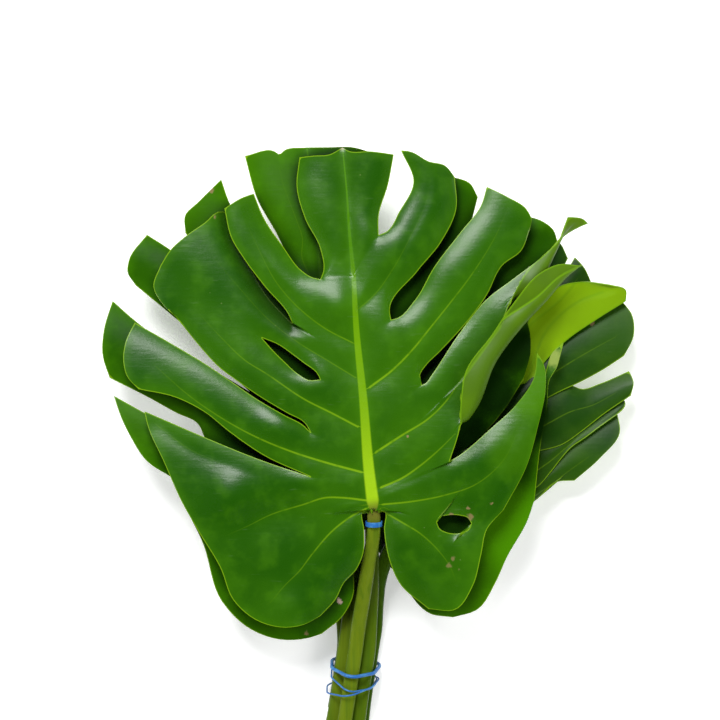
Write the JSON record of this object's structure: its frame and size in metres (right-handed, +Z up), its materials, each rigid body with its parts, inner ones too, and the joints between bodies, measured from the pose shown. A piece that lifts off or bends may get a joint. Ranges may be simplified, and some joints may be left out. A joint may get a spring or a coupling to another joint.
{
  "type": "tied bunch of monstera leaves",
  "caption": "Cut monstera leaves with deep lobes, lying face up on each other, their stalks gathered and held by rubber bands.",
  "frame": {"origin": "centre of the bunch's box, on the surface that it lies on", "axes": "+Z up out of the upper faces of the leaves, +Y from the stalks to the leaf tips, +X to the right as seen from above"},
  "size_m": [0.3863, 0.5199, 0.0772],
  "materials": {
    "leaf_green": "waxy",
    "petiole_olive": "satin",
    "rubber_blue": "matt"
  },
  "bodies": {
    "root": {"front_leaf": "leaf_green", "second_leaf": "leaf_green", "right_leaf": "leaf_green", "left_leaf": "leaf_green", "lowest_leaf": "leaf_green", "front_petiole": "petiole_olive", "second_petiole": "petiole_olive", "right_petiole": "petiole_olive", "left_petiole": "petiole_olive", "lowest_petiole": "petiole_olive", "stem_band": "rubber_blue", "thick_band": "rubber_blue", "thin_band": "rubber_blue", "loose_band": "rubber_blue"}
  },
  "joints": []
}
